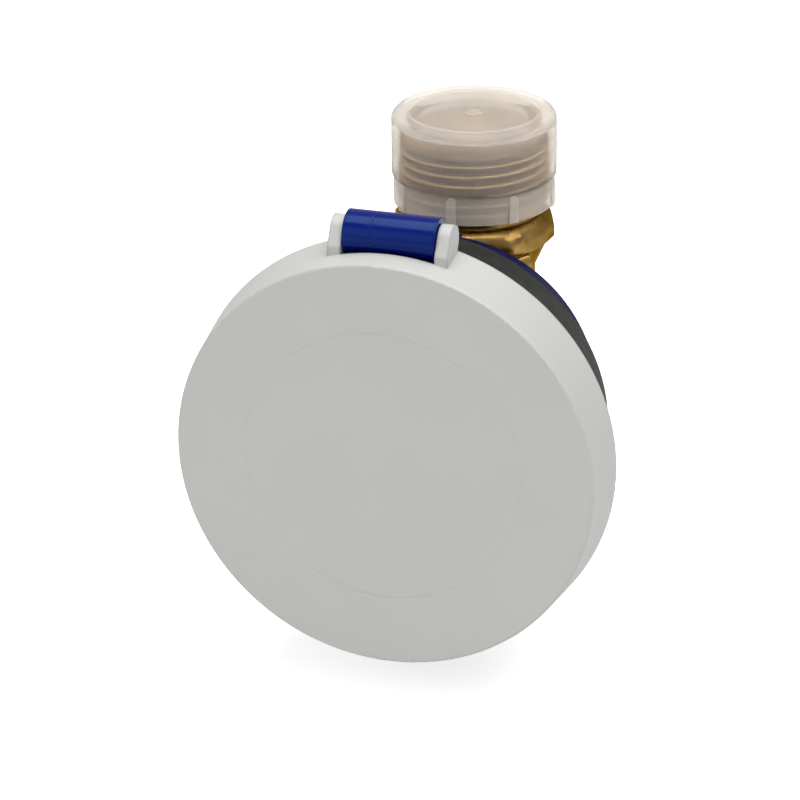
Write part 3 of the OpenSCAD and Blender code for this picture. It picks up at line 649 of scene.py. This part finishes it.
@dataclass
class PipeBody:
    """Brass body with real thread turns cut into both ends."""

    crest: float = 13.05 * MM
    depth: float = 1.1 * MM
    pitch: float = 1.814 * MM
    lower: Pair = (0.6 * MM, 11.2 * MM)
    upper: Pair = (68.8 * MM, 79.4 * MM)
    start: float = 0.27
    runout: float = 0.5 * MM
    flank: float = 0.8
    sharp_angle: float = 28.0
    wall_tolerance: float = 0.03 * MM
    end_tolerance: float = 0.1 * MM
    weld: float = 1e-6
    around: int = 120
    along: int = 96

    def build(self, node: Piece) -> Piece:
        """Copies the body without its plain thread walls and adds turned threads in their place.

        Args:
            node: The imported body.

        Returns:
            The piece that stands for the body.
        """
        work = bmesh.new()
        work.from_mesh(node.data)
        plain = [f for f in work.faces if self.on_thread(f)]
        bmesh.ops.delete(work, geom=plain, context="FACES")
        bmesh.ops.remove_doubles(work, verts=work.verts, dist=self.weld)
        for low, high in (self.lower, self.upper):
            self.add_thread(work, low, high)
        bmesh.ops.recalc_face_normals(work, faces=work.faces)
        mesh = bpy.data.meshes.new("threaded_body")
        work.to_mesh(mesh)
        work.free()
        mesh.shade_smooth()
        mesh.set_sharp_from_angle(angle=math.radians(self.sharp_angle))
        piece = add_piece("threaded_body", mesh, "meter")
        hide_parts("meter_body")
        return piece

    def on_thread(self, face: bmesh.types.BMFace) -> bool:
        """Tells whether a face lies on one of the plain thread walls."""
        slack = self.end_tolerance
        for vert in face.verts:
            if abs(math.hypot(vert.co.x, vert.co.y) - self.crest) > self.wall_tolerance:
                return False
            if not any(low - slack < vert.co.z < high + slack for low, high in (self.lower, self.upper)):
                return False
        return True

    def add_thread(self, work: bmesh.types.BMesh, low: float, high: float) -> None:
        """Adds one turned thread wall between two heights.

        Args:
            work: Mesh under construction.
            low: Lower end of the thread.
            high: Upper end of the thread.
        """
        rows = []
        for j in range(self.along + 1):
            z = low + (high - low) * j / self.along
            fade = min(1.0, (z - low) / self.runout, (high - z) / self.runout)
            row = []
            for i in range(self.around):
                share = i / self.around
                turn = 2 * math.pi * share
                wave = 0.5 - 0.5 * math.cos(2 * math.pi * (z / self.pitch - share - self.start))
                radius = self.crest - self.depth * fade * wave ** self.flank
                row.append(work.verts.new((radius * math.cos(turn), radius * math.sin(turn), z)))
            rows.append(row)
        for a, b in zip(rows, rows[1:]):
            for i in range(self.around):
                k = (i + 1) % self.around
                work.faces.new((a[i], a[k], b[k], b[i]))

    def dress(self, piece: Piece, finishes: Finishes) -> None:
        """Gives the body its brass."""
        finishes.dress(piece, "cast_brass")


@dataclass
class ThreadCaps:
    """Translucent caps over both threads, with the gate mark left by moulding."""

    gate_radius: float = 1.5 * MM
    gate_height: float = 0.25 * MM
    gate_profile: tuple[Pair, ...] = ((1.0, -0.1), (0.95, 0.5), (0.75, 0.9), (0.5, 1.0), (0.3, 0.6))
    disc_top: float = 83.7 * MM
    steps: int = 40

    def build(self) -> list[Piece]:
        """Builds the gate marks.

        Returns:
            The gate mark of the upper and of the lower cap.
        """
        upper = self.gate("upper_gate_mark", self.disc_top, 1, "upper_cap")
        lower = self.gate("lower_gate_mark", 2 * PIPE_MIDDLE - self.disc_top, -1, "lower_cap")
        return [upper, lower]

    def gate(self, name: str, z: float, up: int, body: str) -> Piece:
        """Builds one gate mark as a low dome with a dimple.

        Args:
            name: Name of the piece.
            z: Height of the disc it stands on.
            up: 1 for the upper cap, -1 for the lower one.
            body: Body that carries it.

        Returns:
            The gate mark.
        """
        points, faces = [], []
        for share, height in self.gate_profile:
            for i in range(self.steps):
                turn = 2 * math.pi * i / self.steps
                radius, level = self.gate_radius * share, z + up * self.gate_height * height
                points.append((radius * math.cos(turn), radius * math.sin(turn), level))
        rows = len(self.gate_profile)
        for j in range(rows - 1):
            low, high = j * self.steps, (j + 1) * self.steps
            for i in range(self.steps):
                k = (i + 1) % self.steps
                quad = (low + i, low + k, high + k, high + i)
                faces.append(quad if up > 0 else quad[::-1])
        last = (rows - 1) * self.steps
        cap = tuple(range(last, last + self.steps))
        faces.append(cap if up > 0 else cap[::-1])
        mesh = new_mesh(name, points, faces)
        mesh.shade_smooth()
        return add_piece(name, mesh, body)

    def dress(self, nodes: Nodes, gates: list[Piece], finishes: Finishes) -> None:
        """Gives the caps and their gate marks the milky plastic."""
        for piece in (nodes["upper_thread_cap"], nodes["lower_thread_cap"], *gates):
            finishes.dress(piece, "milky_cap")


class Letter:
    """Flat mesh of one line of print, centred, in millimetres of its own plane."""

    capital: float = 0.69
    curve_steps: int = 4
    weld: float = 1e-5
    cuts: int = 10

    def __init__(self, words: str, size: float) -> None:
        """Makes the print.

        Args:
            words: What is printed.
            size: Height of a capital, in millimetres.
        """
        curve = bpy.data.curves.new("print", "FONT")
        curve.body = words
        curve.size = size / self.capital
        curve.align_x = "CENTER"
        curve.resolution_u = self.curve_steps
        holder = bpy.data.objects.new("print", curve)
        bpy.context.scene.collection.objects.link(holder)
        bpy.context.view_layer.update()
        mesh = bpy.data.meshes.new_from_object(holder.evaluated_get(bpy.context.evaluated_depsgraph_get()))
        bpy.data.objects.remove(holder)
        work = bmesh.new()
        work.from_mesh(mesh)
        bpy.data.meshes.remove(mesh)
        bmesh.ops.remove_doubles(work, verts=work.verts, dist=self.weld)
        for k in range(1, self.cuts):
            level = size * k / self.cuts
            geometry = list(work.verts) + list(work.edges) + list(work.faces)
            bmesh.ops.bisect_plane(work, geom=geometry, plane_co=(0, level, 0), plane_no=(0, 1, 0))
        work.verts.index_update()
        self.points = [(v.co.x, v.co.y - size / 2) for v in work.verts]
        self.faces = [tuple(v.index for v in f.verts) for f in work.faces]
        work.free()


@dataclass
class Print:
    """Gathers flat marks into one mesh."""

    points: list[Point] = field(default_factory=list)
    faces: list[tuple[int, ...]] = field(default_factory=list)

    def put(self, points: Sequence[Point], faces: Sequence[Sequence[int]]) -> None:
        """Adds points and the faces between them."""
        start = len(self.points)
        self.points.extend(points)
        self.faces.extend(tuple(start + i for i in f) for f in faces)


@dataclass
class Counter:
    """Number drums with printed digits, in millimetres."""

    row_end: float = 12.0
    pitch: float = 3.6
    axis_y: float = 5.0
    axis_w: float = 35.2123
    radius: float = 4.6
    rim_start: float = 0.5
    rim_end: float = 2.4
    digit: float = 2.5
    digit_width: float = 0.86
    digit_turn: float = 36.0
    lift: float = 0.02
    drums: int = 8
    red: int = 3
    moving: int = 3

    def build(self) -> list[Piece]:
        """Prints ten digits round each drum.

        Returns:
            One piece of print for each drum.
        """
        digits = [Letter(str(k), self.digit) for k in range(10)]
        pieces = []
        for number in range(1, self.drums + 1):
            sheet = Print()
            middle = self.row_end - number * self.pitch + (self.rim_start + self.rim_end) / 2
            for k, letter in enumerate(digits):
                points = [self.on_drum(middle + x * self.digit_width, y, k) for x, y in letter.points]
                sheet.put(points, letter.faces)
            name = f"drum_{number}_digits"
            body = f"drum_{number}_body" if number <= self.moving else "register"
            pieces.append(add_piece(name, new_mesh(name, sheet.points, sheet.faces), body))
        return pieces

    def on_drum(self, x: float, y: float, digit: int) -> Point:
        """Places a point of a digit on the drum's rim.

        Args:
            x: Position along the drum's axis, in millimetres.
            y: Height within the digit, in millimetres.
            digit: Which digit, counted downwards round the drum.

        Returns:
            The point in the part's frame.
        """
        radius = self.radius + self.lift
        turn = y / radius - math.radians(self.digit_turn) * digit
        return (x * MM, -(self.axis_w + radius * math.cos(turn)) * MM,
                (self.axis_y + radius * math.sin(turn)) * MM + PIPE_MIDDLE)

    def dress(self, nodes: Nodes, digits: list[Piece], finishes: Finishes) -> None:
        """Colours the drums, their digits and the carry pinions."""
        for number in range(1, self.drums + 1):
            finish = "red_moulding" if number <= self.red else "black_moulding"
            finishes.dress(nodes[f"number_drum_{number}"], finish)
        for number in range(1, self.drums):
            finishes.dress(nodes[f"carry_pinion_{number}"], "white_acetal")
        for piece in digits:
            finishes.dress(piece, "white_ink")


@dataclass
class Dial:
    """Print on the dial plate, in millimetres: a rim line, window frames, a pointer scale and the unit."""

    face_w: float = 41.0123
    lift: float = 0.02
    rim: float = 26.2
    rim_line: float = 0.25
    unit_at: Pair = (20.2, 5.0)
    unit_size: float = 3.0
    pointer: Pair = (0.0, -12.0451)
    scale_radius: float = 5.5
    scale_line: float = 0.15
    scale_parts: int = 50
    long_every: int = 5
    long_tick: Pair = (0.9, 0.2)
    short_tick: Pair = (0.45, 0.12)
    number_radius: float = 7.3
    number_size: float = 1.2
    factor_at: Pair = (0.0, -21.9)
    factor_size: float = 1.5
    frame_half: float = 3.0
    frame_line: float = 0.35
    frame_left: float = 0.45
    frame_right: float = 0.75
    circle_steps: int = 96
    counter: Counter = field(default_factory=Counter)

    def build(self) -> list[Piece]:
        """Prints the dial in black and red.

        Returns:
            The black print and the red print.
        """
        black, red = Print(), Print()
        self.ring(black, (0, 0), self.rim, self.rim_line)
        self.window_frame(black, self.counter.red + 1, self.counter.drums)
        self.window_frame(red, 1, self.counter.red)
        self.words(black, "m³", self.unit_at, self.unit_size)
        self.ring(red, self.pointer, self.scale_radius, self.scale_line)
        for k in range(self.scale_parts):
            turn = math.radians(90 - 360 / self.scale_parts * k)
            length, width = self.short_tick if k % self.long_every else self.long_tick
            self.tick(red, turn, length, width)
        for k in range(10):
            turn = math.radians(90 - self.counter.digit_turn * k)
            at = (self.pointer[0] + self.number_radius * math.cos(turn),
                  self.pointer[1] + self.number_radius * math.sin(turn))
            self.words(red, str(k), at, self.number_size)
        self.words(red, "x0.0001", self.factor_at, self.factor_size)
        pieces = []
        for name, sheet in (("dial_black_print", black), ("dial_red_print", red)):
            mesh = new_mesh(name, sheet.points, sheet.faces)
            pieces.append(add_piece(name, mesh, "register"))
        return pieces

    def at(self, x: float, y: float) -> Point:
        """Places a point of the print just over the dial."""
        return (x * MM, -(self.face_w + self.lift) * MM, y * MM + PIPE_MIDDLE)

    def ring(self, sheet: Print, middle: Pair, radius: float, width: float) -> None:
        """Prints a circle.

        Args:
            sheet: Print to add to.
            middle: Centre on the dial.
            radius: Radius of the line's middle.
            width: Width of the line.
        """
        steps = self.circle_steps
        points = []
        for r in (radius - width / 2, radius + width / 2):
            for i in range(steps):
                turn = 2 * math.pi * i / steps
                points.append(self.at(middle[0] + r * math.cos(turn), middle[1] + r * math.sin(turn)))
        faces = [(i, (i + 1) % steps, steps + (i + 1) % steps, steps + i) for i in range(steps)]
        sheet.put(points, faces)

    def tick(self, sheet: Print, turn: float, length: float, width: float) -> None:
        """Prints one stroke of the pointer's scale."""
        along = Vector((math.cos(turn), math.sin(turn)))
        side = Vector((-along.y, along.x)) * (width / 2)
        middle = Vector(self.pointer)
        foot, tip = middle + along * self.scale_radius, middle + along * (self.scale_radius + length)
        ends = (foot - side, tip - side, tip + side, foot + side)
        sheet.put([self.at(p.x, p.y) for p in ends], [(0, 1, 2, 3)])

    def window_frame(self, sheet: Print, first: int, last: int) -> None:
        """Prints a frame round the windows of some drums.

        Args:
            sheet: Print to add to.
            first: Rightmost drum.
            last: Leftmost drum.
        """
        row, line = self.counter, self.frame_line
        left = row.row_end - last * row.pitch - self.frame_left
        right = row.row_end - first * row.pitch + row.pitch - self.frame_right
        low, high = row.axis_y - self.frame_half, row.axis_y + self.frame_half
        bars = ((left, right, high - line, high), (left, right, low, low + line),
                (left, left + line, low + line, high - line), (right - line, right, low + line, high - line))
        for x0, x1, y0, y1 in bars:
            sheet.put([self.at(x0, y0), self.at(x1, y0), self.at(x1, y1), self.at(x0, y1)], [(0, 1, 2, 3)])

    def words(self, sheet: Print, text: str, middle: Pair, size: float) -> None:
        """Prints a line of text centred at a place on the dial."""
        letter = Letter(text, size)
        sheet.put([self.at(middle[0] + x, middle[1] + y) for x, y in letter.points], letter.faces)

    def dress(self, pieces: list[Piece], finishes: Finishes) -> None:
        """Gives the print its inks."""
        finishes.dress(pieces[0], "black_ink")
        finishes.dress(pieces[1], "red_ink")


@dataclass
class Register:
    """Case, train and counter inside the lock ring."""

    counter: Counter = field(default_factory=Counter)
    dial: Dial = field(default_factory=Dial)
    finish_of: dict[str, str] = field(default_factory=lambda: {
        "register_shroud": "shroud_plastic", "hinge_ring": "hinge_plastic", "register_window": "clear_window",
        "register_base": "white_acetal", "counter_frame": "white_acetal", "dial_plate": "dial_white",
        "drive_arbor": "white_acetal", "first_wheel": "white_acetal", "second_wheel": "white_acetal",
        "third_wheel": "white_acetal", "counter_drive_wheel": "white_acetal", "flow_star": "red_moulding",
        "sweep_pointer": "red_moulding", "drum_shaft": "ground_steel", "carry_shaft": "ground_steel",
        "follower_magnet": "ferrite"})

    def build(self, nodes: Nodes, finishes: Finishes) -> None:
        """Builds the print and dresses every piece of the register.

        Args:
            nodes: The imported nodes.
            finishes: Materials to use.
        """
        self.counter.dress(nodes, self.counter.build(), finishes)
        self.dial.dress(self.dial.build(), finishes)
        for node, finish in self.finish_of.items():
            finishes.dress(nodes[node], finish)


@dataclass
class Chamber:
    """Wet side: impeller, its bearings, the separating plate and the strainer."""

    finish_of: dict[str, str] = field(default_factory=lambda: {
        "inlet_strainer": "white_acetal", "pivot_pin": "ground_steel", "bearing_stone": "bearing_jewel",
        "impeller": "white_acetal", "impeller_spindle": "ground_steel", "impeller_magnet": "ferrite",
        "separating_plate": "black_moulding", "plate_seal": "seal_rubber", "clamp_ring": "cast_brass",
        "shield_ring": "ground_steel"})

    def dress(self, nodes: Nodes, finishes: Finishes) -> None:
        """Dresses every piece of the wet side."""
        for node, finish in self.finish_of.items():
            finishes.dress(nodes[node], finish)


@dataclass
class Lid:
    """Hinged lid with its pin."""

    finish_of: dict[str, str] = field(default_factory=lambda: {
        "lid": "lid_plastic", "hinge_pin": "ground_steel"})

    def dress(self, nodes: Nodes, finishes: Finishes) -> None:
        """Dresses the lid and its pin."""
        for node, finish in self.finish_of.items():
            finishes.dress(nodes[node], finish)


# Studio


@dataclass(frozen=True)
class Softbox:
    """Square softbox that faces the meter."""

    name: str
    place: Point
    size: float
    power: float
    target: Point = (0.0, -0.03, 0.04)

    def build(self) -> None:
        """Adds the lamp to the scene."""
        data = bpy.data.lights.new(self.name, "AREA")
        data.size = self.size
        data.energy = self.power
        lamp = bpy.data.objects.new(self.name, data)
        lamp.location = self.place
        lamp.rotation_euler = (Vector(self.target) - Vector(self.place)).to_track_quat("-Z", "Y").to_euler()
        bpy.context.scene.collection.objects.link(lamp)


@dataclass
class Studio:
    """Pale floor, soft light from above and the camera."""

    softboxes: tuple[Softbox, ...] = (
        Softbox("top_softbox", (0.10, -0.06, 0.75), 0.8, 6.2),
        Softbox("front_fill", (-0.45, -0.75, 0.35), 0.6, 0.8))
    air_colour: Colour = (0.98, 0.99, 1.0)
    air_strength: float = 0.46
    floor_z: float = -4.2 * MM
    floor_half: float = 4.0
    floor_shades: tuple[Colour, Colour] = ((0.84, 0.84, 0.84), (0.86, 0.86, 0.86))
    floor_patch: float = 0.5
    floor_roughness: float = 0.9
    floor_sheen: float = 0.1
    floor_glow: float = 0.68
    azimuth: float = 18.12
    elevation: float = 25.4
    roll: float = -0.85
    distance: float = 0.545
    focal_px: float = 3305.0
    aim: Point = (0.0, -54.5 * MM, PIPE_MIDDLE)
    aim_px: Pair = (381.7, 469.0)
    image: int = 800
    sensor: float = 36.0
    near: float = 0.01

    def build(self) -> None:
        """Builds the floor, the light and the camera."""
        self.build_floor()
        self.build_world()
        for softbox in self.softboxes:
            softbox.build()
        self.build_camera()

    def build_floor(self) -> None:
        """Builds a floor that looks white to the camera and still takes the shadow."""
        half = self.floor_half
        square = ((-half, -half), (half, -half), (half, half), (-half, half))
        corners = [(x, y, self.floor_z) for x, y in square]
        floor = bpy.data.objects.new("studio_floor", new_mesh("studio_floor", corners, [(0, 1, 2, 3)]))
        bpy.context.scene.collection.objects.link(floor)
        bench = Bench("floor_paper")
        stops = list(zip(bench.noise_span, self.floor_shades))
        bench.set(Base_Color=bench.ramp(bench.noise(self.floor_patch, 1), stops))
        bench.set(Roughness=self.floor_roughness, Specular_IOR_Level=self.floor_sheen)
        glow = bench.add("ShaderNodeEmission")
        seen = self.seen_ray(bench)
        bench.join(bench.math("MULTIPLY", seen, self.floor_glow), glow.inputs["Strength"])
        both = bench.add("ShaderNodeAddShader")
        bench.join(bench.shader.outputs["BSDF"], both.inputs[0])
        bench.join(glow.outputs["Emission"], both.inputs[1])
        bench.join(both.outputs["Shader"], bench.out.inputs["Surface"])
        floor.data.materials.append(bench.material)

    def seen_ray(self, bench: Bench) -> Socket:
        """Gives 1 for rays that show the background: camera and transmission rays."""
        path = bench.add("ShaderNodeLightPath")
        return bench.math("MAXIMUM", path.outputs["Is Camera Ray"], path.outputs["Is Transmission Ray"])

    def build_world(self) -> None:
        """Builds a world that is white to see and gives a soft grey light."""
        world = bpy.data.worlds.new("studio_air")
        bpy.context.scene.world = world
        world.use_nodes = True
        tree = world.node_tree
        tree.nodes.clear()
        out = tree.nodes.new("ShaderNodeOutputWorld")
        white = tree.nodes.new("ShaderNodeBackground")
        soft = tree.nodes.new("ShaderNodeBackground")
        soft.inputs["Color"].default_value = rgba(self.air_colour)
        soft.inputs["Strength"].default_value = self.air_strength
        path = tree.nodes.new("ShaderNodeLightPath")
        seen = tree.nodes.new("ShaderNodeMath")
        seen.operation = "MAXIMUM"
        tree.links.new(path.outputs["Is Camera Ray"], seen.inputs[0])
        tree.links.new(path.outputs["Is Transmission Ray"], seen.inputs[1])
        mix = tree.nodes.new("ShaderNodeMixShader")
        tree.links.new(seen.outputs["Value"], mix.inputs["Fac"])
        tree.links.new(soft.outputs["Background"], mix.inputs[1])
        tree.links.new(white.outputs["Background"], mix.inputs[2])
        tree.links.new(mix.outputs["Shader"], out.inputs["Surface"])
        white.inputs["Color"].default_value = (1, 1, 1, 1)
        white.inputs["Strength"].default_value = 1.0

    def build_camera(self) -> None:
        """Builds the camera so that its aim point lands on its pixel of the square image."""
        az, el = math.radians(self.azimuth), math.radians(self.elevation)
        back = Vector((math.sin(az) * math.cos(el), -math.cos(az) * math.cos(el), math.sin(el)))
        right = Vector((math.cos(az), math.sin(az), 0))
        up = back.cross(right)
        turn = math.radians(self.roll)
        right, up = math.cos(turn) * right + math.sin(turn) * up, math.cos(turn) * up - math.sin(turn) * right
        place = Vector(self.aim) + back * self.distance
        per_px = self.distance / self.focal_px
        middle = self.image / 2
        across, down = self.aim_px
        centre = Vector(self.aim) + right * (middle - across) * per_px + up * (down - middle) * per_px
        look = (place - centre).normalized()
        side = (right - look * right.dot(look)).normalized()
        over = look.cross(side)
        data = bpy.data.cameras.new("camera")
        data.sensor_width = self.sensor
        data.lens = self.focal_px / self.image * self.sensor
        data.clip_start = self.near
        camera = bpy.data.objects.new("camera", data)
        turned = Matrix((side, over, look)).transposed().to_4x4()
        turned.translation = place
        camera.matrix_world = turned
        bpy.context.scene.collection.objects.link(camera)
        bpy.context.scene.camera = camera


def main() -> None:
    """Builds and dresses the meter piece by piece, then sets up the studio."""
    logging.basicConfig(level=logging.INFO, format="%(name)s: %(message)s")
    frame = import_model()
    nodes = frame["nodes"]
    bpy.context.scene.view_settings.view_transform = "Standard"
    finishes = Finishes()
    finishes.make_all()
    body = PipeBody()
    body.dress(body.build(nodes["meter_body"]), finishes)
    Chamber().dress(nodes, finishes)
    caps = ThreadCaps()
    caps.dress(nodes, caps.build(), finishes)
    Register().build(nodes, finishes)
    Lid().dress(nodes, finishes)
    Studio().build()


if __name__ == "__main__":
    main()
